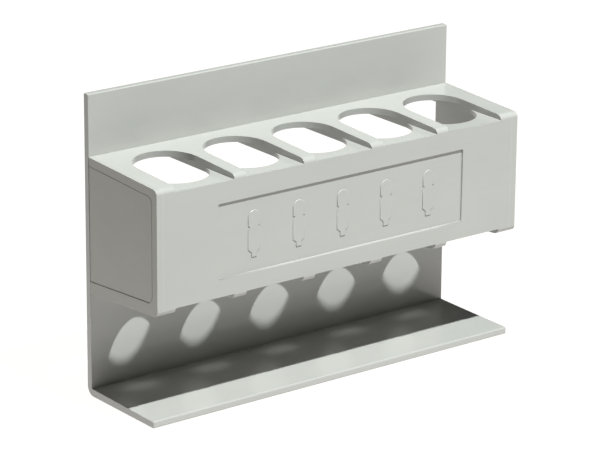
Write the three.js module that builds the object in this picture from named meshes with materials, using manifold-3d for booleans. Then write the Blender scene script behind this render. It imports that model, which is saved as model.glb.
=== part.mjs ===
// Wall rack that holds five whiteboard markers, with a ledge below the pen tips.
// Millimetres, +Z up, +X along the rack, front towards -Y.
// The origin is the middle of the rack's underside.

import * as THREE from 'three';
import { mergeVertices } from 'three/addons/utils/BufferGeometryUtils.js';
import Module from 'manifold-3d';

const wasm = await Module();
wasm.setup();

// ---- driving dimensions -------------------------------------------------------------------

const LENGTH = 140;
const HEIGHT = 97.1;
const BOX_DEPTH = 38.2;
const SHELF_DEPTH = 35.7;

const PLATE = 2.4;
const BEND_RADIUS = 3.1;
const SHELF_REAR = 2.5;
const SHELF_FRONT = 2.3;

const END_PANEL = 2.3;
const FRONT_WALL = 2.3;
const DECK = 2.0;
const FLOOR = 1.5;

const PEN_COUNT = 5;
const PEN_PITCH = 26.2;
const SLOT_WIDTH = 21.5;
const SLOT_REAR = 8.0;
const SLOT_FRONT = 32.9;

// Heights of the box's outer faces at the back plate and at its front, with mould draft.
const TOP_REAR_Z = 77.4;
const TOP_FRONT_Z = 75.9;
const BOTTOM_REAR_Z = 33.9;
const BOTTOM_FRONT_Z = 36.2;
const UPPER_FLOOR_Z = 74.3;
const LOWER_FLOOR_Z = 38.0;
const NOSE_LENGTH = 2.2;

const LABEL_WIDTH = 95;
const LABEL_BOTTOM_Z = 43.85;
const LABEL_TOP_Z = 67.55;
const LABEL_SUNK = 0.55;
const LABEL_THICK = 0.8;

// Five raised marker signs on the label plate. Collar and barrel heights are from a sign's middle.
const ICON_PITCH = 17;
const ICON_HEIGHT = 15;
const ICON_WIDTH = 4.6;
const ICON_RELIEF = 0.25;
const ICON_COLLAR_WIDTH = 3.3;
const ICON_TAIL_WIDTH = 2.1;
const ICON_TAIL_LENGTH = 1.6;
const ICON_TAPER_LENGTH = 1.0;
const ICON_BARREL_TOP = 1.2;
const ICON_COLLAR_BOTTOM = 1.8;
const ICON_CAP_BOTTOM = 2.4;

const FIELD_DEPTH = 0.2;
const FIELD_MARGIN = 2.4;

const MAGNET_THICK = 1.5;
const TAPE_THICK = 0.3;
const MAGNET_LENGTH = 126;
const UPPER_MAGNET_Z = [81.5, 93.5];
const LOWER_MAGNET_Z = [14, 26];

const ARC_STEPS = 20;
const QUARTER_STEPS = 10;

// How far a cutter runs past the face that it cuts.
const CUT_PAST = 1;

// ---- derived places -----------------------------------------------------------------------

const HALF = LENGTH / 2;
const INNER_HALF = HALF - END_PANEL;
const STACK = MAGNET_THICK + TAPE_THICK;
const REAR_Y = (BOX_DEPTH - STACK) / 2;
const PLATE_Y = REAR_Y - PLATE;
const FRONT_Y = REAR_Y - BOX_DEPTH;
const WALL_Y = FRONT_Y + FRONT_WALL;
const SHELF_Y = REAR_Y - SHELF_DEPTH;
const SLOT_RADIUS = SLOT_WIDTH / 2;
const SLOT_REAR_Y = REAR_Y - SLOT_REAR - SLOT_RADIUS;
const SLOT_FRONT_Y = REAR_Y - SLOT_FRONT + SLOT_RADIUS;
const STEP_Y = (SLOT_REAR_Y + SLOT_FRONT_Y) / 2;
const WINDOW_TOP_Z = TOP_REAR_Z - DECK;
const WINDOW_BOTTOM_Z = BOTTOM_REAR_Z + DECK;

const TOP_SLOPE = (TOP_FRONT_Z - TOP_REAR_Z) / (PLATE_Y - FRONT_Y);
const BOTTOM_SLOPE = (BOTTOM_FRONT_Z - BOTTOM_REAR_Z) / (PLATE_Y - FRONT_Y);

const boxTop = (y) => TOP_REAR_Z + TOP_SLOPE * (PLATE_Y - y);
const boxBottom = (y) => BOTTOM_REAR_Z + BOTTOM_SLOPE * (PLATE_Y - y);
const slotCentre = (index) => (index - (PEN_COUNT - 1) / 2) * PEN_PITCH;

// ---- materials ----------------------------------------------------------------------------

const plastic = new THREE.MeshStandardMaterial({ color: 0xc3c6bf, roughness: 0.55, metalness: 0 });
const textured = new THREE.MeshStandardMaterial({ color: 0xbcbfb8, roughness: 0.7, metalness: 0 });
const magnet = new THREE.MeshStandardMaterial({ color: 0x35322f, roughness: 0.8, metalness: 0 });
const tape = new THREE.MeshStandardMaterial({ color: 0xe6e3d8, roughness: 0.6, metalness: 0 });

// ---- helpers ------------------------------------------------------------------------------

// Turns a three.js geometry into a solid that can be joined and cut.
function solid(geometry) {
  const bare = geometry.clone();
  bare.deleteAttribute('normal');
  bare.deleteAttribute('uv');
  const merged = mergeVertices(bare, 1e-4);
  const vertProperties = new Float32Array(merged.attributes.position.array);
  const triVerts = new Uint32Array(merged.index.array);
  return new wasm.Manifold(new wasm.Mesh({ numProp: 3, vertProperties, triVerts }));
}

// Turns a solid back into a geometry.
function geometryOf(body) {
  const mesh = body.getMesh();
  const geometry = new THREE.BufferGeometry();
  geometry.setAttribute('position', new THREE.BufferAttribute(mesh.vertProperties, 3));
  geometry.setIndex(new THREE.BufferAttribute(mesh.triVerts, 1));
  geometry.computeVertexNormals();
  return geometry;
}

const join = (bodies) => bodies.reduce((sum, body) => sum.add(body));

const cut = (body, tools) => tools.reduce((rest, tool) => rest.subtract(tool), body);

// A straight extrusion of a shape, from z = 0 to z = depth.
function extrude(shape, depth) {
  return new THREE.ExtrudeGeometry(shape, { depth, bevelEnabled: false, curveSegments: ARC_STEPS });
}

// A solid whose outline lies in the Y-Z plane, from x0 to x1.
function alongX(outline, x0, x1) {
  const shape = new THREE.Shape(outline.map(([y, z]) => new THREE.Vector2(y, z)));
  const geometry = extrude(shape, x1 - x0);
  const turn = new THREE.Matrix4().makeBasis(
    new THREE.Vector3(0, 1, 0),
    new THREE.Vector3(0, 0, 1),
    new THREE.Vector3(1, 0, 0),
  );
  geometry.applyMatrix4(turn);
  geometry.translate(x0, 0, 0);
  return solid(geometry);
}

// A solid whose outline lies in the X-Z plane, from yFront back to yBack.
function alongY(shape, yFront, yBack) {
  const geometry = extrude(shape, yBack - yFront);
  const turn = new THREE.Matrix4().makeBasis(
    new THREE.Vector3(1, 0, 0),
    new THREE.Vector3(0, 0, 1),
    new THREE.Vector3(0, -1, 0),
  );
  geometry.applyMatrix4(turn);
  geometry.translate(0, yBack, 0);
  return solid(geometry);
}

// A solid block between two corners.
function block([x0, y0, z0], [x1, y1, z1]) {
  const geometry = new THREE.BoxGeometry(x1 - x0, y1 - y0, z1 - z0);
  geometry.translate((x0 + x1) / 2, (y0 + y1) / 2, (z0 + z1) / 2);
  return solid(geometry);
}

// Points on an elliptical quarter turn round (cy, cz), from angle a0 to a1.
function turnPoints(cy, cz, ry, rz, a0, a1) {
  const points = [];
  for (let step = 0; step <= QUARTER_STEPS; step += 1) {
    const angle = a0 + (a1 - a0) * step / QUARTER_STEPS;
    points.push([cy + ry * Math.cos(angle), cz + rz * Math.sin(angle)]);
  }
  return points;
}

// ---- back panel with its shelf --------------------------------------------------------------

function backPanel() {
  const bend = turnPoints(REAR_Y - BEND_RADIUS, BEND_RADIUS, BEND_RADIUS, BEND_RADIUS, 0, -Math.PI / 2);
  const outline = [
    [REAR_Y, HEIGHT],
    ...bend,
    [SHELF_Y, 0],
    [SHELF_Y, SHELF_FRONT],
    [PLATE_Y, SHELF_REAR],
    [PLATE_Y, HEIGHT],
  ];
  const panel = alongX(outline, -HALF, HALF);
  const window = block(
    [-INNER_HALF, PLATE_Y - CUT_PAST, WINDOW_BOTTOM_Z],
    [INNER_HALF, REAR_Y + CUT_PAST, WINDOW_TOP_Z],
  );
  return cut(panel, [window]);
}

// ---- the pen guides, five in each deck of the box --------------------------------------------

// The oblong opening for one pen, as a cutter taller than both decks.
function slotCutter(centre) {
  const shape = new THREE.Shape();
  shape.absarc(centre, SLOT_REAR_Y, SLOT_RADIUS, 0, Math.PI);
  shape.absarc(centre, SLOT_FRONT_Y, SLOT_RADIUS, Math.PI, 2 * Math.PI);
  return solid(extrude(shape, HEIGHT));
}

// The x limits of one guide, which meets its neighbours in the middle of the bars between them.
function guideLimits(index) {
  const start = index === 0 ? -INNER_HALF : slotCentre(index) - PEN_PITCH / 2;
  const end = index === PEN_COUNT - 1 ? INNER_HALF : slotCentre(index) + PEN_PITCH / 2;
  return [start, end];
}

// The x limits of the solid stretches between and beside the openings.
function barLimits() {
  const limits = [];
  let start = -INNER_HALF;
  for (let index = 0; index < PEN_COUNT; index += 1) {
    limits.push([start, slotCentre(index) - SLOT_RADIUS]);
    start = slotCentre(index) + SLOT_RADIUS;
  }
  limits.push([start, INNER_HALF]);
  return limits;
}

// A guide is a rear web and a stepped floor round one opening, with half a bar on either side.
function guide(index, rearOutline, floorOutline, barOutline) {
  const centre = slotCentre(index);
  const [start, end] = guideLimits(index);
  const rear = alongX(rearOutline, start, end);
  const floor = alongX(floorOutline, start, end);
  const web = cut(join([rear, floor]), [slotCutter(centre)]);
  const leftBar = alongX(barOutline, start, centre - SLOT_RADIUS);
  const rightBar = alongX(barOutline, centre + SLOT_RADIUS, end);
  return join([web, leftBar, rightBar]);
}

function upperGuide(index) {
  const floorUnder = UPPER_FLOOR_Z - FLOOR;
  const rear = [
    [PLATE_Y, TOP_REAR_Z],
    [PLATE_Y, TOP_REAR_Z - DECK],
    [STEP_Y, boxTop(STEP_Y) - DECK],
    [STEP_Y, boxTop(STEP_Y)],
  ];
  const floor = [
    [STEP_Y, UPPER_FLOOR_Z],
    [STEP_Y, floorUnder],
    [WALL_Y, floorUnder],
    [WALL_Y, UPPER_FLOOR_Z],
  ];
  const bar = [
    [PLATE_Y, TOP_REAR_Z],
    [WALL_Y, boxTop(WALL_Y)],
    [WALL_Y, floorUnder],
    [PLATE_Y, floorUnder],
  ];
  return guide(index, rear, floor, bar);
}

function lowerGuide(index) {
  const floorOver = LOWER_FLOOR_Z + FLOOR;
  const rear = [
    [PLATE_Y, BOTTOM_REAR_Z],
    [STEP_Y, boxBottom(STEP_Y)],
    [STEP_Y, boxBottom(STEP_Y) + DECK],
    [PLATE_Y, BOTTOM_REAR_Z + DECK],
  ];
  const floor = [
    [STEP_Y, LOWER_FLOOR_Z],
    [STEP_Y, floorOver],
    [WALL_Y, floorOver],
    [WALL_Y, LOWER_FLOOR_Z],
  ];
  const bar = [
    [PLATE_Y, floorOver],
    [WALL_Y, floorOver],
    [WALL_Y, boxBottom(WALL_Y)],
    [PLATE_Y, BOTTOM_REAR_Z],
  ];
  return guide(index, rear, floor, bar);
}

// ---- front wall, label plate and end panels ---------------------------------------------------

// The rounded front of the box where a bar or an end panel reaches it, back to backY.
function nosePoints(backY) {
  const noseY = FRONT_Y + NOSE_LENGTH;
  const rise = boxTop(noseY) - UPPER_FLOOR_Z;
  const drop = LOWER_FLOOR_Z - boxBottom(noseY);
  return [
    [backY, boxTop(backY)],
    ...turnPoints(noseY, UPPER_FLOOR_Z, NOSE_LENGTH, rise, Math.PI / 2, Math.PI),
    ...turnPoints(noseY, LOWER_FLOOR_Z, NOSE_LENGTH, drop, Math.PI, 3 * Math.PI / 2),
    [backY, boxBottom(backY)],
  ];
}

// The wall between the two decks' front edges, with a rounded nose where each bar reaches it.
function frontWall() {
  const wall = block([-INNER_HALF, FRONT_Y, LOWER_FLOOR_Z], [INNER_HALF, WALL_Y, UPPER_FLOOR_Z]);
  const noses = barLimits().map(([x0, x1]) => alongX(nosePoints(WALL_Y), x0, x1));
  const pocket = block(
    [-LABEL_WIDTH / 2, FRONT_Y - CUT_PAST, LABEL_BOTTOM_Z],
    [LABEL_WIDTH / 2, FRONT_Y + LABEL_SUNK + LABEL_THICK, LABEL_TOP_Z],
  );
  return cut(join([wall, ...noses]), [pocket]);
}

// Outline of one upright marker: a round-ended cap, a collar, a barrel and a narrow tail.
function markerShape(centre, midZ) {
  const half = ICON_WIDTH / 2;
  const collar = ICON_COLLAR_WIDTH / 2;
  const tail = ICON_TAIL_WIDTH / 2;
  const bottom = midZ - ICON_HEIGHT / 2;
  const tailTop = bottom + ICON_TAIL_LENGTH;
  const side = [
    [tail, bottom],
    [tail, tailTop],
    [half, tailTop + ICON_TAPER_LENGTH],
    [half, midZ + ICON_BARREL_TOP],
    [collar, midZ + ICON_COLLAR_BOTTOM],
    [collar, midZ + ICON_CAP_BOTTOM],
    [half, midZ + ICON_CAP_BOTTOM],
  ];
  const shape = new THREE.Shape();
  shape.moveTo(centre - tail, bottom);
  side.forEach(([x, z]) => shape.lineTo(centre + x, z));
  shape.absarc(centre, midZ + ICON_HEIGHT / 2 - half, half, 0, Math.PI);
  side.slice(1).reverse().forEach(([x, z]) => shape.lineTo(centre - x, z));
  return shape;
}

function labelPlate() {
  const faceY = FRONT_Y + LABEL_SUNK;
  const midZ = (LABEL_BOTTOM_Z + LABEL_TOP_Z) / 2;
  const plate = block(
    [-LABEL_WIDTH / 2, faceY, LABEL_BOTTOM_Z],
    [LABEL_WIDTH / 2, faceY + LABEL_THICK, LABEL_TOP_Z],
  );
  const icons = [];
  for (let index = 0; index < PEN_COUNT; index += 1) {
    const centre = (index - (PEN_COUNT - 1) / 2) * ICON_PITCH;
    icons.push(alongY(markerShape(centre, midZ), faceY - ICON_RELIEF, faceY + LABEL_THICK / 2));
  }
  return join([plate, ...icons]);
}

// One end panel, with a shallow textured field sunk into its outer face.
function endPanel(outerX, innerX) {
  const panel = alongX(nosePoints(PLATE_Y), Math.min(outerX, innerX), Math.max(outerX, innerX));
  const fieldFrontY = FRONT_Y + FIELD_MARGIN;
  const fieldRearY = PLATE_Y + CUT_PAST;
  const field = [
    [fieldRearY, boxTop(fieldRearY) - FIELD_MARGIN],
    [fieldFrontY, boxTop(fieldFrontY) - FIELD_MARGIN],
    [fieldFrontY, boxBottom(fieldFrontY) + FIELD_MARGIN],
    [fieldRearY, boxBottom(fieldRearY) + FIELD_MARGIN],
  ];
  const side = Math.sign(outerX);
  const cutterX = [outerX - side * FIELD_DEPTH, outerX + side * CUT_PAST];
  return cut(panel, [alongX(field, Math.min(...cutterX), Math.max(...cutterX))]);
}

// ---- magnetic strips and the tape that holds them -----------------------------------------------

// A flat strip across the rack's rear, from one height to another.
function rearStrip([z0, z1], y0, y1) {
  return block([-MAGNET_LENGTH / 2, y0, z0], [MAGNET_LENGTH / 2, y1, z1]);
}

// ---- assembly -----------------------------------------------------------------------------------

const rack = new THREE.Group();
rack.name = 'marker_rack';

function addPiece(name, body, material) {
  const mesh = new THREE.Mesh(geometryOf(body), material);
  mesh.name = name;
  rack.add(mesh);
}

addPiece('back_panel', backPanel(), plastic);
for (let index = 0; index < PEN_COUNT; index += 1) {
  addPiece(`upper_guide_${index + 1}`, upperGuide(index), plastic);
  addPiece(`lower_guide_${index + 1}`, lowerGuide(index), plastic);
}
addPiece('front_wall', frontWall(), plastic);
addPiece('label_plate', labelPlate(), plastic);
addPiece('left_end_panel', endPanel(-HALF, -INNER_HALF), textured);
addPiece('right_end_panel', endPanel(HALF, INNER_HALF), textured);
for (const [side, heights] of [['upper', UPPER_MAGNET_Z], ['lower', LOWER_MAGNET_Z]]) {
  addPiece(`${side}_adhesive_tape`, rearStrip(heights, REAR_Y, REAR_Y + TAPE_THICK), tape);
  addPiece(`${side}_magnet_strip`, rearStrip(heights, REAR_Y + TAPE_THICK, REAR_Y + STACK), magnet);
}

export default rack;
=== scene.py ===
# A wall rack for five whiteboard markers, moulded in light grey plastic, on a white studio floor.
import math

import bmesh
import bpy
from mathutils import Matrix, Vector


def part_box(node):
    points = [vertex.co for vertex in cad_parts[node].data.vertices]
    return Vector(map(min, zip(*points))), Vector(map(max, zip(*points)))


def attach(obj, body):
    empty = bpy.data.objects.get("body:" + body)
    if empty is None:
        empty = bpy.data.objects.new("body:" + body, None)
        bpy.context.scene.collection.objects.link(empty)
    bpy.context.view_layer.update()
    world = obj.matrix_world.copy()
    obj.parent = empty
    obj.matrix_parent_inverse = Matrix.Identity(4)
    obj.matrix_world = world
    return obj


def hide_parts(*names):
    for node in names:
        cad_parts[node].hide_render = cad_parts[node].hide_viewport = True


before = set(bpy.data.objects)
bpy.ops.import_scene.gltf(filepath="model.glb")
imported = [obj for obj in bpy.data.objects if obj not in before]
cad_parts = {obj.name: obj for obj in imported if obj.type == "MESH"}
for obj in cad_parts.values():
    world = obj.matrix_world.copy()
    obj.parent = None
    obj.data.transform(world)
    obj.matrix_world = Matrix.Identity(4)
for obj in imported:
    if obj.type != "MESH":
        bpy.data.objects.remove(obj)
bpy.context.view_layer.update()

# ---- sizes, in metres ---------------------------------------------------------------------

MM = 0.001

PEN_COUNT = 5
UPPER_GUIDES = [f"upper_guide_{number}" for number in range(1, PEN_COUNT + 1)]
LOWER_GUIDES = [f"lower_guide_{number}" for number in range(1, PEN_COUNT + 1)]


def span(nodes):
    """The low and high corners of a row of nodes, first to last."""
    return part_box(nodes[0])[0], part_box(nodes[-1])[1]


PLATE_LOW, PLATE_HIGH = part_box("back_panel")
WALL_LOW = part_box("front_wall")[0]
DECK_LOW, DECK_HIGH = span(UPPER_GUIDES)
SOLE_LOW, SOLE_HIGH = span(LOWER_GUIDES)
LABEL_LOW, LABEL_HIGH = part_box("label_plate")

HALF = PLATE_HIGH.x
INNER_HALF = DECK_HIGH.x
HEIGHT = PLATE_HIGH.z
REAR_Y = PLATE_HIGH.y
PLATE_Y = DECK_HIGH.y
WALL_Y = DECK_LOW.y
FRONT_Y = WALL_LOW.y
SHELF_Y = PLATE_LOW.y

BEND_RADIUS = 3.1 * MM
SHELF_REAR = 2.5 * MM
SHELF_FRONT = 2.3 * MM
DECK_THICK = 2.0 * MM
FLOOR_THICK = 1.5 * MM

PEN_PITCH = 26.2 * MM
SLOT_RADIUS = 10.75 * MM
SLOT_REAR_Y = REAR_Y - 18.75 * MM
SLOT_FRONT_Y = REAR_Y - 22.15 * MM
STEP_Y = (SLOT_REAR_Y + SLOT_FRONT_Y) / 2

TOP_REAR_Z = DECK_HIGH.z
TOP_FRONT_Z = TOP_REAR_Z - 1.5 * MM
SOLE_REAR_Z = SOLE_LOW.z
SOLE_FRONT_Z = SOLE_REAR_Z + 2.3 * MM
UPPER_FLOOR_Z = DECK_LOW.z + FLOOR_THICK
LOWER_FLOOR_Z = SOLE_HIGH.z - FLOOR_THICK
NOSE_LENGTH = 2.2 * MM

LABEL_SUNK = 0.55 * MM
LABEL_THICK = 0.8 * MM
ICON_PITCH = 17 * MM
ICON_HEIGHT = 15 * MM
ICON_WIDTH = 4.6 * MM
ICON_RELIEF = 0.25 * MM
ICON_COLLAR_WIDTH = 3.3 * MM
ICON_TAIL_WIDTH = 2.1 * MM
ICON_TAIL_LENGTH = 1.6 * MM
ICON_TAPER_LENGTH = 1.0 * MM
ICON_BARREL_TOP = 1.2 * MM
ICON_COLLAR_BOTTOM = 1.8 * MM
ICON_CAP_BOTTOM = 2.4 * MM

RIM = 2.4 * MM
FOOT_RIM = 3.6 * MM
FIELD_CORNER = 2.6 * MM
FIELD_DEPTH = 0.12 * MM
GROOVE_DEPTH = 0.24 * MM
GROOVE_WIDTH = 0.6 * MM

MAGNET_CORNER = 1.2 * MM
FOAM_CORNER = 0.8 * MM
FOAM_INSET = 0.3 * MM

WINDOW_TOP_Z = TOP_REAR_Z - DECK_THICK
WINDOW_FOOT_Z = SOLE_REAR_Z + DECK_THICK

# Edge widths, from crisp to soft. FINE and SOFT are also margins for comparisons and cutters.
CRISP_EDGE = 0.1 * MM
FIELD_EDGE = 0.12 * MM
FINE = 0.15 * MM
THIN_EDGE = 0.2 * MM
DECK_EDGE = 0.22 * MM
SMALL = 0.3 * MM
TOP_EDGE = 0.45 * MM
LIP_EDGE = 0.5 * MM
SOFT = 0.8 * MM
BEVEL_STEPS = 3
CREASE = math.radians(20)
OUTWARD = 0.9

NEAR = 0.02 * MM
WELD = 0.002 * MM
FLAT = math.radians(0.3)
SLOT_STEPS = 48
BEND_STEPS = 24
CORNER_STEPS = 12
STRIP_STEPS = 8

# ---- mesh helpers -------------------------------------------------------------------------


def box_top(y):
    """Height of the box's sloping top at depth y."""
    return TOP_REAR_Z + (TOP_FRONT_Z - TOP_REAR_Z) * (PLATE_Y - y) / (PLATE_Y - FRONT_Y)


def box_sole(y):
    """Height of the box's sloping underside at depth y."""
    return SOLE_REAR_Z + (SOLE_FRONT_Z - SOLE_REAR_Z) * (PLATE_Y - y) / (PLATE_Y - FRONT_Y)


def in_row(index, pitch):
    """Where the item for one pen lies along X, in a row centred on the rack."""
    return (index - (PEN_COUNT - 1) / 2) * pitch


def arc(centre, radii, start, end, steps=BEND_STEPS):
    """Points of an elliptical arc between two angles in degrees."""
    points = []
    for step in range(steps + 1):
        angle = math.radians(start + (end - start) * step / steps)
        points.append((centre[0] + radii[0] * math.cos(angle), centre[1] + radii[1] * math.sin(angle)))
    return points


PLACE = {
    "X": lambda along, a, b: (along, a, b),
    "Y": lambda along, a, b: (a, along, b),
    "Z": lambda along, a, b: (a, b, along),
}


def prism(outline, axis, start, end):
    """A closed bmesh whose outline runs from start to end along an axis."""
    mesh = bmesh.new()
    place = PLACE[axis]
    first = [mesh.verts.new(place(start, a, b)) for a, b in outline]
    last = [mesh.verts.new(place(end, a, b)) for a, b in outline]
    mesh.faces.new(first)
    mesh.faces.new(last)
    for index in range(len(outline)):
        after = (index + 1) % len(outline)
        mesh.faces.new((first[index], first[after], last[after], last[index]))
    bmesh.ops.recalc_face_normals(mesh, faces=mesh.faces)
    return mesh


def brick(low, high):
    """A closed bmesh block between two corners."""
    outline = [(low[1], low[2]), (high[1], low[2]), (high[1], high[2]), (low[1], high[2])]
    return prism(outline, "X", low[0], high[0])


def holder(name, mesh):
    """An object for a bmesh, which it uses up."""
    data = bpy.data.meshes.new(name)
    mesh.to_mesh(data)
    mesh.free()
    made = bpy.data.objects.new(name, data)
    bpy.context.scene.collection.objects.link(made)
    return made


def combine(body, tools, operation):
    """The bmesh left when each tool is joined to, or cut from, the body."""
    work = holder("work", body)
    helpers = []
    for tool in tools:
        helper = holder("helper", tool)
        modifier = work.modifiers.new("combine", "BOOLEAN")
        modifier.operation = operation
        modifier.solver = "EXACT"
        modifier.object = helper
        helpers.append(helper)
    graph = bpy.context.evaluated_depsgraph_get()
    data = bpy.data.meshes.new_from_object(work.evaluated_get(graph))
    result = bmesh.new()
    result.from_mesh(data)
    for item in [work, *helpers]:
        bpy.data.objects.remove(item)
    bpy.data.meshes.remove(data)
    bmesh.ops.remove_doubles(result, verts=result.verts, dist=WELD)
    bmesh.ops.dissolve_limit(
        result, angle_limit=FLAT, verts=result.verts, edges=result.edges, delimit=set()
    )
    return result


def finish_piece(name, mesh, radius_of, nodes, material, side_material=None):
    """Rounds a mesh's edges by radius_of(midpoint, edge) and puts it in place of CAD nodes.

    A side material goes on the faces that look outwards along X.
    """
    layer = mesh.edges.layers.float.new("bevel_weight_edge")
    for face in mesh.faces:
        face.smooth = True
        outward = face.normal.x * face.calc_center_median().x > OUTWARD * INNER_HALF
        face.material_index = int(outward and side_material is not None)
    for edge in mesh.edges:
        if len(edge.link_faces) != 2 or edge.calc_face_angle(0) < CREASE:
            continue
        middle = (edge.verts[0].co + edge.verts[1].co) / 2
        radius = radius_of(middle, edge)
        edge[layer] = radius / SOFT
        edge.smooth = radius > 0
    piece = holder(name, mesh)
    bevel = piece.modifiers.new("rounded edges", "BEVEL")
    bevel.limit_method = "WEIGHT"
    bevel.width = SOFT
    bevel.segments = BEVEL_STEPS
    bevel.harden_normals = True
    bevel.use_clamp_overlap = True
    bevel.loop_slide = False
    for item in filter(None, (material, side_material)):
        piece.data.materials.append(item)
    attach(piece, "root")
    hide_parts(*nodes)
    return piece


def near(a, b):
    """Whether two lengths are the same, give or take a fiftieth of a millimetre."""
    return abs(a - b) < NEAR


# ---- shader helpers -----------------------------------------------------------------------

EDGE_GAIN = 6.0
SHADER_SAMPLES = 4


class Value:
    """A socket that takes part in Python arithmetic by adding Math nodes."""

    def __init__(self, graph, socket):
        self.graph = graph
        self.socket = socket

    def math(self, operation, *others):
        inputs = dict(enumerate((self, *others)))
        return self.graph.node("ShaderNodeMath", {"operation": operation}, inputs)

    def __add__(self, other):
        return self.math("ADD", other)

    def __sub__(self, other):
        return self.math("SUBTRACT", other)

    def __mul__(self, other):
        return self.math("MULTIPLY", other)

    def __truediv__(self, other):
        return self.math("DIVIDE", other)

    def __rsub__(self, other):
        return self.graph.node("ShaderNodeMath", {"operation": "SUBTRACT"}, {0: other, 1: self})

    def __rtruediv__(self, other):
        return self.graph.node("ShaderNodeMath", {"operation": "DIVIDE"}, {0: other, 1: self})

    __radd__ = __add__
    __rmul__ = __mul__

    def clamped(self):
        return self.math("MAXIMUM", 0.0).math("MINIMUM", 1.0)


class Graph:
    """One material's node tree, with a Principled shader at its end."""

    def __init__(self, name, **constants):
        self.material = bpy.data.materials.new(name)
        self.material.use_nodes = True
        self.tree = self.material.node_tree
        self.shader = self.tree.nodes["Principled BSDF"]
        for socket, value in constants.items():
            self.shader.inputs[socket.replace("_", " ")].default_value = value

    def node(self, kind, settings, inputs, output=0):
        """Adds a node: its settings first, then its sockets' values or links."""
        made = self.tree.nodes.new(kind)
        for key, value in settings.items():
            setattr(made, key, value)
        for key, value in inputs.items():
            self.feed(made.inputs[key], value)
        return Value(self, made.outputs[output])

    def feed(self, socket, value):
        if isinstance(value, Value):
            self.tree.links.new(value.socket, socket)
        else:
            socket.default_value = value

    def place(self, stretch=(1, 1, 1)):
        """The surface point in millimetres, stretched along each axis."""
        point = self.node("ShaderNodeTexCoord", {}, {}, "Object")
        scale = tuple(factor / MM for factor in stretch)
        return self.node("ShaderNodeVectorMath", {"operation": "MULTIPLY"}, {0: point, 1: scale})

    def noise(self, scale, detail=2.0, roughness=0.5, stretch=(1, 1, 1)):
        inputs = {"Vector": self.place(stretch), "Scale": scale, "Detail": detail, "Roughness": roughness}
        return self.node("ShaderNodeTexNoise", {}, inputs, "Fac")

    def blend(self, factor, first, second):
        return self.node("ShaderNodeMix", {"data_type": "RGBA"}, {0: factor, 6: first, 7: second}, 2)

    def edges(self, radius):
        """1 on convex and concave edges, 0 on flat stretches."""
        rounded = self.node("ShaderNodeBevel", {"samples": SHADER_SAMPLES}, {"Radius": radius})
        true = self.node("ShaderNodeNewGeometry", {}, {}, "Normal")
        settings = {"operation": "DOT_PRODUCT"}
        same = self.node("ShaderNodeVectorMath", settings, {0: rounded, 1: true}, "Value")
        return ((1 - same) * EDGE_GAIN).clamped()

    def hollows(self, distance):
        """1 in the open, falling towards 0 in tight corners."""
        settings = {"samples": SHADER_SAMPLES}
        return self.node("ShaderNodeAmbientOcclusion", settings, {"Distance": distance}, "AO")

    def bump(self, height, depth):
        return self.node("ShaderNodeBump", {}, {"Height": height, "Distance": depth, "Strength": 1.0})

    def finish(self, **links):
        for socket, value in links.items():
            self.feed(self.shader.inputs[socket.replace("_", " ")], value)
        return self.material


# ---- materials ----------------------------------------------------------------------------

SMOOTH_GREYS = [(0.470, 0.473, 0.450, 1), (0.512, 0.515, 0.490, 1), (0.420, 0.422, 0.400, 1)]
# The end panels' grained faces: darker, warmer greys than the satin ones, painted to give the tone of a
# shaded side.
GRAINED_SHADED_GREYS = [(0.452, 0.452, 0.412, 1), (0.500, 0.500, 0.460, 1), (0.395, 0.394, 0.356, 1)]
RUBBED_GREY = (0.62, 0.62, 0.59, 1)
# Brownish grey for the painted shade in corners and hollows.
PAINTED_SHADE = (0.36, 0.35, 0.31, 1)
RUBBER_BROWNS = [(0.030, 0.026, 0.023, 1), (0.075, 0.064, 0.055, 1)]
FOAM_CREAMS = [(0.70, 0.67, 0.60, 1), (0.84, 0.82, 0.76, 1)]
WORN_WIDTH = 0.5 * MM
PAINTED_SHADE_REACH = 3.0 * MM
PIT_DEPTH = 0.04 * MM
CELL_DEPTH = 0.06 * MM


def plastic(name, shades, grain_size, grain_depth, streaks, roughness):
    """Light grey moulded plastic: cloudy tone, fine grain, rubbed edges and painted shade in corners."""
    middle, light, dark = shades
    graph = Graph(name, IOR=1.49, Specular_IOR_Level=0.5)
    clouds = graph.noise(0.035, 3.0)
    flow = graph.noise(0.10, 2.0, 0.6, stretch=(0.25, 1, 2.2))
    speckle = graph.noise(2.6, 1.0)
    tone = clouds * 0.5 + flow * 0.35 + speckle * 0.15
    shade = graph.blend(((tone - 0.35) * 2.2).clamped(), dark, light)
    body = graph.blend(0.35, middle, shade)
    worn = graph.edges(WORN_WIDTH) * (graph.noise(0.8, 3.0) * 0.7 + 0.3)
    rubbed = graph.blend(worn * 0.35, body, RUBBED_GREY)
    # Painted shade: tight corners and hollows are darkened towards a brownish grey by an ambient-occlusion
    # mask.
    corner_shade = (1 - graph.hollows(PAINTED_SHADE_REACH)) * (graph.noise(0.5, 3.0) * 0.6 + 0.4)
    colour = graph.blend(corner_shade * 0.12, rubbed, PAINTED_SHADE)
    scuffs = graph.noise(0.55, 5.0, 0.7, stretch=(1, 0.35, 0.12))
    gloss = roughness + (scuffs - 0.5) * 0.10 + (speckle - 0.5) * 0.04 + worn * 0.08
    grain = graph.noise(1.0 / grain_size, 2.0, 0.55)
    ripple = graph.noise(0.7, 2.0, 0.5, stretch=(0.12, 1, 1))
    height = grain * (1 - streaks) + ripple * streaks
    return graph.finish(Base_Color=colour, Roughness=gloss, Normal=graph.bump(height, grain_depth))


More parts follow.
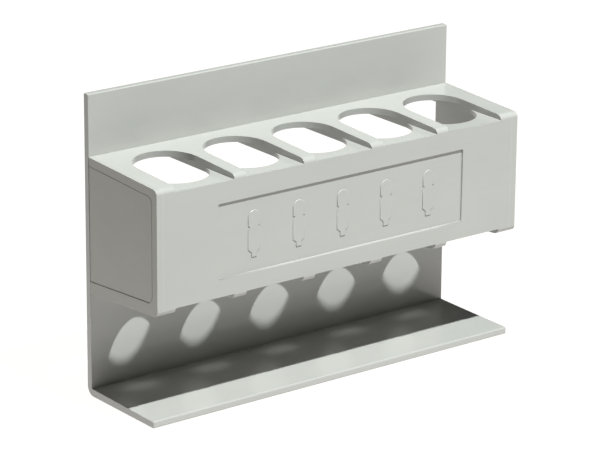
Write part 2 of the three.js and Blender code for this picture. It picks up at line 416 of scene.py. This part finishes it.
def magnet_rubber():
    """Dark flexible magnet: matt, finely pitted, faintly mottled brown."""
    graph = Graph("magnet rubber", IOR=1.5, Specular_IOR_Level=0.3)
    mottle = graph.noise(0.25, 4.0, 0.6)
    pits = graph.noise(3.2, 3.0, 0.6)
    colour = graph.blend(mottle, *RUBBER_BROWNS)
    lines = graph.noise(1.2, 2.0, 0.5, stretch=(0.03, 1, 1))
    gloss = 0.62 + (pits - 0.5) * 0.2
    relief = graph.bump(pits * 0.7 + lines * 0.3, PIT_DEPTH)
    return graph.finish(Base_Color=colour, Roughness=gloss, Normal=relief)


def foam_tape():
    """Off-white foam tape with an open-celled edge."""
    graph = Graph("foam tape", IOR=1.45, Specular_IOR_Level=0.2)
    cells = graph.node("ShaderNodeTexVoronoi", {}, {"Vector": graph.place(), "Scale": 5.0}, "Distance")
    tone = graph.noise(0.6, 3.0)
    colour = graph.blend(tone * 0.5 + cells * 0.5, *FOAM_CREAMS)
    return graph.finish(Base_Color=colour, Roughness=0.7 + cells * 0.2, Normal=graph.bump(cells, CELL_DEPTH))


SATIN = plastic(
    "satin grey plastic",
    SMOOTH_GREYS,
    grain_size=0.45,
    grain_depth=0.003 * MM,
    streaks=0.2,
    roughness=0.15,
)
# Grained finish for the end panels' outer faces; its darker, warmer greys are painted shade.
GRAINED_SHADED = plastic(
    "grained grey plastic with painted shade",
    GRAINED_SHADED_GREYS,
    grain_size=0.60,
    grain_depth=0.035 * MM,
    streaks=0.45,
    roughness=0.50,
)
RUBBER = magnet_rubber()
FOAM = foam_tape()

# ---- back panel and shelf -------------------------------------------------------------------


def back_panel():
    """The upright plate, with the shelf turned out at its foot and the window behind the box."""
    bend = arc((REAR_Y - BEND_RADIUS, BEND_RADIUS), (BEND_RADIUS, BEND_RADIUS), 0, -90)
    outline = [(REAR_Y, HEIGHT), *bend, (SHELF_Y, 0), (SHELF_Y, SHELF_FRONT), (PLATE_Y, SHELF_REAR)]
    outline += [(PLATE_Y, SOLE_REAR_Z), (PLATE_Y, TOP_REAR_Z), (PLATE_Y, HEIGHT)]
    panel = prism(outline, "X", -HALF, HALF)
    window = brick(
        (-INNER_HALF, PLATE_Y - SOFT, WINDOW_FOOT_Z),
        (INNER_HALF, REAR_Y + SOFT, WINDOW_TOP_Z),
    )
    panel = combine(panel, [window], "DIFFERENCE")

    def radius_of(middle, edge):
        if near(middle.y, PLATE_Y) and near(middle.z, SHELF_REAR):
            return 0
        if near(middle.y, PLATE_Y) and SOLE_REAR_Z < middle.z < TOP_REAR_Z:
            return 0
        if near(middle.y, SHELF_Y):
            return LIP_EDGE
        if near(middle.z, HEIGHT):
            return TOP_EDGE
        return SMALL

    return finish_piece("back_panel_shell", panel, radius_of, ["back_panel"], SATIN)


# ---- decks ------------------------------------------------------------------------------------


def slot_prism(centre):
    """The oblong opening for one pen, as tall as the rack."""
    rear = arc((centre, SLOT_REAR_Y), (SLOT_RADIUS, SLOT_RADIUS), 0, 180, SLOT_STEPS)
    front = arc((centre, SLOT_FRONT_Y), (SLOT_RADIUS, SLOT_RADIUS), 180, 360, SLOT_STEPS)
    return prism([*rear, *front], "Z", 0, HEIGHT)


def bay_prism(centre, outline):
    """A cutter as wide as one pen opening, with an outline seen from the side."""
    return prism(outline, "X", centre - SLOT_RADIUS, centre + SLOT_RADIUS)


def deck(name, nodes, slab, front_pocket, rear_pocket, floor_z):
    """A slab with a stepped pocket before and behind each pen opening."""
    mesh = prism(slab, "X", -INNER_HALF, INNER_HALF)
    centres = [in_row(index, PEN_PITCH) for index in range(PEN_COUNT)]
    mesh = combine(mesh, [bay_prism(centre, front_pocket) for centre in centres], "DIFFERENCE")
    mesh = combine(mesh, [bay_prism(centre, rear_pocket) for centre in centres], "DIFFERENCE")
    mesh = combine(mesh, [slot_prism(centre) for centre in centres], "DIFFERENCE")

    def radius_of(middle, edge):
        if near(middle.y, PLATE_Y) or near(middle.y, WALL_Y) or near(abs(middle.x), INNER_HALF):
            return 0
        upright = abs(edge.verts[0].co.z - edge.verts[1].co.z) > FINE
        if upright:
            return 0
        if near(middle.z, floor_z) and any(near(v.co.z, floor_z) for v in edge.verts):
            off_centre = abs((middle.x / PEN_PITCH + 0.5) % 1 - 0.5) * PEN_PITCH
            return 0 if near(off_centre, SLOT_RADIUS) else FINE
        return DECK_EDGE

    return finish_piece(name, mesh, radius_of, nodes, SATIN)


def upper_deck():
    """The top of the box, whose floors in front of the openings lie below the bars."""
    under = DECK_LOW.z
    over = HEIGHT
    slab = [(PLATE_Y, TOP_REAR_Z), (WALL_Y, box_top(WALL_Y)), (WALL_Y, under), (PLATE_Y, under)]
    front = [(STEP_Y, UPPER_FLOOR_Z), (STEP_Y, over), (FRONT_Y, over), (FRONT_Y, UPPER_FLOOR_Z)]
    rear = [
        (REAR_Y, box_top(REAR_Y) - DECK_THICK),
        (STEP_Y, box_top(STEP_Y) - DECK_THICK),
        (STEP_Y, under - SOFT),
        (REAR_Y, under - SOFT),
    ]
    return deck("upper_deck_moulding", UPPER_GUIDES, slab, front, rear, UPPER_FLOOR_Z)


def lower_deck():
    """The bottom of the box, stepped like the upper deck but the other way up."""
    over = SOLE_HIGH.z
    slab = [(PLATE_Y, over), (WALL_Y, over), (WALL_Y, box_sole(WALL_Y)), (PLATE_Y, SOLE_REAR_Z)]
    front = [(STEP_Y, LOWER_FLOOR_Z), (STEP_Y, 0), (FRONT_Y, 0), (FRONT_Y, LOWER_FLOOR_Z)]
    rear = [
        (REAR_Y, box_sole(REAR_Y) + DECK_THICK),
        (STEP_Y, box_sole(STEP_Y) + DECK_THICK),
        (STEP_Y, over + SOFT),
        (REAR_Y, over + SOFT),
    ]
    return deck("lower_deck_moulding", LOWER_GUIDES, slab, front, rear, LOWER_FLOOR_Z)


# ---- front wall, label and end panels -----------------------------------------------------------


def nose_outline(back_y):
    """Side view of the box's rounded front, closed at back_y."""
    nose_y = FRONT_Y + NOSE_LENGTH
    rise = box_top(nose_y) - UPPER_FLOOR_Z
    drop = LOWER_FLOOR_Z - box_sole(nose_y)
    top = arc((nose_y, UPPER_FLOOR_Z), (NOSE_LENGTH, rise), 90, 180, CORNER_STEPS)
    foot = arc((nose_y, LOWER_FLOOR_Z), (NOSE_LENGTH, drop), 180, 270, CORNER_STEPS)
    return [(back_y, box_top(back_y)), *top, *foot, (back_y, box_sole(back_y))]


def front_wall():
    """The front of the box, with noses between the openings and the pocket for the label field."""
    wall = prism(nose_outline(WALL_Y), "X", -INNER_HALF, INNER_HALF)
    gaps = []
    for index in range(PEN_COUNT):
        low = in_row(index, PEN_PITCH) - SLOT_RADIUS
        high = in_row(index, PEN_PITCH) + SLOT_RADIUS
        gaps.append(brick((low, FRONT_Y - SOFT, UPPER_FLOOR_Z), (high, WALL_Y + SOFT, HEIGHT)))
        gaps.append(brick((low, FRONT_Y - SOFT, 0), (high, WALL_Y + SOFT, LOWER_FLOOR_Z)))
    wall = combine(wall, gaps, "DIFFERENCE")
    pocket = brick(
        (LABEL_LOW.x, FRONT_Y - SOFT, LABEL_LOW.z),
        (LABEL_HIGH.x, FRONT_Y + LABEL_SUNK + LABEL_THICK, LABEL_HIGH.z),
    )
    wall = combine(wall, [pocket], "DIFFERENCE")

    def radius_of(middle, edge):
        if near(middle.y, WALL_Y) or near(abs(middle.x), INNER_HALF):
            return 0
        by_label = LABEL_LOW.z - FINE < middle.z < LABEL_HIGH.z + FINE
        if by_label and middle.y > FRONT_Y + LABEL_SUNK / 2:
            return 0
        if near(middle.y, FRONT_Y) and near(middle.z, LABEL_LOW.z):
            return LIP_EDGE
        if by_label and near(middle.y, FRONT_Y):
            return FINE
        along_wall = abs(edge.verts[0].co.x - edge.verts[1].co.x) > SOFT
        if near(middle.z, UPPER_FLOOR_Z):
            return SMALL if along_wall else 0
        if near(middle.z, LOWER_FLOOR_Z):
            return CRISP_EDGE if along_wall else 0
        return THIN_EDGE

    return finish_piece("front_wall_shell", wall, radius_of, ["front_wall"], SATIN)


def marker_outline(centre, middle_z):
    """An upright marker seen from the side: round cap, collar, barrel and narrow tail."""
    half = ICON_WIDTH / 2
    collar = ICON_COLLAR_WIDTH / 2
    tail = ICON_TAIL_WIDTH / 2
    top = middle_z + ICON_HEIGHT / 2
    foot = middle_z - ICON_HEIGHT / 2
    tail_top = foot + ICON_TAIL_LENGTH
    side = [
        (tail, foot),
        (tail, tail_top),
        (half, tail_top + ICON_TAPER_LENGTH),
        (half, middle_z + ICON_BARREL_TOP),
        (collar, middle_z + ICON_COLLAR_BOTTOM),
        (collar, middle_z + ICON_CAP_BOTTOM),
        (half, middle_z + ICON_CAP_BOTTOM),
    ]
    cap = arc((centre, top - half), (half, half), 0, 180)
    right = [(centre + x, z) for x, z in side]
    left = [(centre - x, z) for x, z in reversed(side)]
    return [*right, *cap, *left]


def label_plate():
    """The field in the front wall's pocket, with five plain marker signs in low relief."""
    face_y = FRONT_Y + LABEL_SUNK
    middle_z = (LABEL_LOW.z + LABEL_HIGH.z) / 2
    plate = brick((LABEL_LOW.x, face_y, LABEL_LOW.z), (LABEL_HIGH.x, face_y + LABEL_THICK, LABEL_HIGH.z))
    icons = []
    for index in range(PEN_COUNT):
        outline = marker_outline(in_row(index, ICON_PITCH), middle_z)
        icons.append(prism(outline, "Y", face_y - ICON_RELIEF, face_y + LABEL_THICK / 2))
    plate = combine(plate, icons, "UNION")

    def radius_of(middle, edge):
        return THIN_EDGE if near(middle.y, face_y - ICON_RELIEF) else 0

    return finish_piece("label_plate_relief", plate, radius_of, ["label_plate"], SATIN)


def field_outline(inset):
    """The end panel's field, open to the rear, drawn in by inset."""
    front = FRONT_Y + RIM + inset
    top = box_top(front) - RIM - inset
    foot = box_sole(front) + FOOT_RIM + inset
    corner = FIELD_CORNER - inset
    return [
        (REAR_Y, box_top(REAR_Y) - RIM - inset),
        *arc((front + corner, top - corner), (corner, corner), 90, 180, CORNER_STEPS),
        *arc((front + corner, foot + corner), (corner, corner), 180, 270, CORNER_STEPS),
        (REAR_Y, box_sole(REAR_Y) + FOOT_RIM + inset),
    ]


def end_panel(side, node):
    """One end of the box, with a shallow field and a fine groove round it in the outer face."""
    outer = side * HALF
    inner = side * INNER_HALF
    past = outer + side * SOFT
    panel = prism(nose_outline(PLATE_Y), "X", min(outer, inner), max(outer, inner))
    field = prism(field_outline(0), "X", outer - side * FIELD_DEPTH, past)
    groove = prism(field_outline(0), "X", outer - side * GROOVE_DEPTH, past)
    island = prism(field_outline(GROOVE_WIDTH), "X", outer - side * SOFT, past + side * SOFT)
    ring = combine(groove, [island], "DIFFERENCE")
    panel = combine(panel, [field, ring], "DIFFERENCE")

    def radius_of(middle, edge):
        if near(middle.y, PLATE_Y) or near(middle.x, inner):
            return 0
        inside = box_sole(middle.y) + FINE < middle.z < box_top(middle.y) - FINE
        if inside and middle.y > FRONT_Y + FINE * 2:
            return FIELD_EDGE
        return SOFT

    return finish_piece(f"{node}_shell", panel, radius_of, [node], SATIN, GRAINED_SHADED)


# ---- magnetic strips and tape -----------------------------------------------------------------


def rounded_strip(name, node, corner, inset, edge_width, material):
    """A flat strip with rounded corners, drawn in by inset from the node that it replaces."""
    low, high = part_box(node)
    x0, x1, z0, z1 = low.x + inset, high.x - inset, low.z + inset, high.z - inset
    outline = [
        *arc((x1 - corner, z1 - corner), (corner, corner), 0, 90, STRIP_STEPS),
        *arc((x0 + corner, z1 - corner), (corner, corner), 90, 180, STRIP_STEPS),
        *arc((x0 + corner, z0 + corner), (corner, corner), 180, 270, STRIP_STEPS),
        *arc((x1 - corner, z0 + corner), (corner, corner), 270, 360, STRIP_STEPS),
    ]
    mesh = prism(outline, "Y", low.y, high.y)
    return finish_piece(name, mesh, lambda middle, edge: edge_width, [node], material)


# ---- making the rack ----------------------------------------------------------------------------

back_panel()
upper_deck()
lower_deck()
front_wall()
label_plate()
end_panel(-1, "left_end_panel")
end_panel(1, "right_end_panel")
for level in ("upper", "lower"):
    rounded_strip(f"{level}_magnet", f"{level}_magnet_strip", MAGNET_CORNER, 0, THIN_EDGE, RUBBER)
    rounded_strip(f"{level}_foam", f"{level}_adhesive_tape", FOAM_CORNER, FOAM_INSET, 0, FOAM)

# ---- floor, lights and camera ---------------------------------------------------------------------

FLOOR_RADIUS = 9.0
FLOOR_STEPS = 96
FLOOR_GAP = 0.1 * MM
FLOOR_BASE = (0.05, 0.05, 0.05, 1)
POOL_GLOW = (1.03, 1.005, 0.985, 1)
FAR_GLOW = (0.41, 0.404, 0.395, 1)
POOL_CENTRE = (0.11, 0.185, 0)
POOL_RADIUS = 0.31
POOL_FADE = 0.20

KEY_PLACE = (0.05, -0.541, 1.200)
KEY_POWER = 108
KEY_RADIUS = 0.016
KEY_COLOUR = (0.96, 1.0, 0.985)

GLINT_PITCH = 27.1 * MM
GLINT_SHIFT = -1.7 * MM
GLINT_LENGTH = 12.5 * MM
GLINT_WIDTH = 4.5 * MM
GLINT_OFF_PLATE = 3.0 * MM
GLINT_HEIGHT = 12.5 * MM
GLINT_SPREAD = math.radians(35)
GLINT_TILT = math.radians(-20)
GLINT_POWER = 0.000022

PANEL_PLACE = (-0.85, 0.28, 0.50)
PANEL_TURN = (math.radians(62), 0, math.radians(-109))
PANEL_SIZE = 0.5
PANEL_POWER = 0.6
PANEL_COLOUR = (1.0, 0.98, 0.92)

SKY_COLOUR = (0.95, 0.98, 1.0, 1)
SKY_STRENGTH = 0.04

CAMERA_AZIMUTH = math.radians(-37.44)
CAMERA_RISE = math.radians(18.43)
CAMERA_ROLL = math.radians(0.44)
CAMERA_DISTANCE = 1.0149
CAMERA_TARGET = Vector((-0.9 * MM, 0.95 * MM, 46.3 * MM))
CAMERA_LENS = 194.3
CAMERA_SENSOR = 36


def studio_floor():
    """A floor that glows white round the rack and fades to pale grey further out."""
    mesh = bmesh.new()
    bmesh.ops.create_circle(mesh, cap_ends=True, radius=FLOOR_RADIUS, segments=FLOOR_STEPS)
    floor = holder("studio_floor", mesh)
    floor.location.z = -FLOOR_GAP
    graph = Graph("white studio floor", Roughness=0.9, Specular_IOR_Level=0.0, Emission_Strength=1.0)
    point = graph.node("ShaderNodeTexCoord", {}, {}, "Object")
    inputs = {0: point, 1: POOL_CENTRE}
    reach = graph.node("ShaderNodeVectorMath", {"operation": "DISTANCE"}, inputs, "Value")
    fade = ((reach - POOL_RADIUS) / POOL_FADE).clamped()
    glow = graph.blend(fade, POOL_GLOW, FAR_GLOW)
    graph.finish(Base_Color=FLOOR_BASE, Emission_Color=glow)
    floor.data.materials.append(graph.material)


def add_lamp(data, place, turn=(0, 0, 0)):
    """A lamp in the scene, placed and turned."""
    lamp = bpy.data.objects.new(data.name, data)
    lamp.location = place
    lamp.rotation_euler = turn
    bpy.context.scene.collection.objects.link(lamp)
    return lamp


def key_lamp():
    """A small bright lamp high in front, whose light falls through both decks."""
    data = bpy.data.lights.new("key_lamp", "POINT")
    data.energy = KEY_POWER
    data.color = KEY_COLOUR
    data.shadow_soft_size = KEY_RADIUS
    add_lamp(data, KEY_PLACE)


def plate_glints():
    """Five hidden lamps, standing in for the key lamp's reflection off the plate onto the shelf."""
    for index in range(PEN_COUNT):
        data = bpy.data.lights.new(f"plate_glint_{index + 1}", "AREA")
        data.shape = "ELLIPSE"
        data.size = GLINT_LENGTH
        data.size_y = GLINT_WIDTH
        data.spread = GLINT_SPREAD
        data.energy = GLINT_POWER
        across = in_row(index, GLINT_PITCH) + GLINT_SHIFT
        lamp = add_lamp(data, (across, PLATE_Y - GLINT_OFF_PLATE, GLINT_HEIGHT), (GLINT_TILT, 0, 0))
        lamp.visible_camera = False
        lamp.visible_glossy = False


def side_panel():
    """A soft panel above and to the left, which lights the box's end."""
    data = bpy.data.lights.new("side_panel", "AREA")
    data.energy = PANEL_POWER
    data.color = PANEL_COLOUR
    data.size = PANEL_SIZE
    add_lamp(data, PANEL_PLACE, PANEL_TURN)


def surroundings():
    """A dim, even light from all round."""
    world = bpy.data.worlds.new("dim studio")
    world.use_nodes = True
    sky = world.node_tree.nodes["Background"]
    sky.inputs["Color"].default_value = SKY_COLOUR
    sky.inputs["Strength"].default_value = SKY_STRENGTH
    bpy.context.scene.world = world


def studio_camera():
    """A long lens, a little above the rack and to its left."""
    level = Vector((math.sin(CAMERA_AZIMUTH), -math.cos(CAMERA_AZIMUTH), 0))
    back = level * math.cos(CAMERA_RISE) + Vector((0, 0, math.sin(CAMERA_RISE)))
    right = back.cross(Vector((0, 0, -1))).normalized()
    up = back.cross(right)
    turned_right = right * math.cos(CAMERA_ROLL) + up * math.sin(CAMERA_ROLL)
    turned_up = up * math.cos(CAMERA_ROLL) - right * math.sin(CAMERA_ROLL)
    turn = Matrix((turned_right, turned_up, back)).transposed()
    data = bpy.data.cameras.new("studio_camera")
    data.lens = CAMERA_LENS
    data.sensor_width = CAMERA_SENSOR
    camera = bpy.data.objects.new("studio_camera", data)
    place = CAMERA_TARGET + back * CAMERA_DISTANCE
    camera.matrix_world = Matrix.Translation(place) @ turn.to_4x4()
    bpy.context.scene.collection.objects.link(camera)
    bpy.context.scene.camera = camera


studio_floor()
key_lamp()
plate_glints()
side_panel()
surroundings()
studio_camera()
bpy.context.scene.view_settings.view_transform = "Standard"
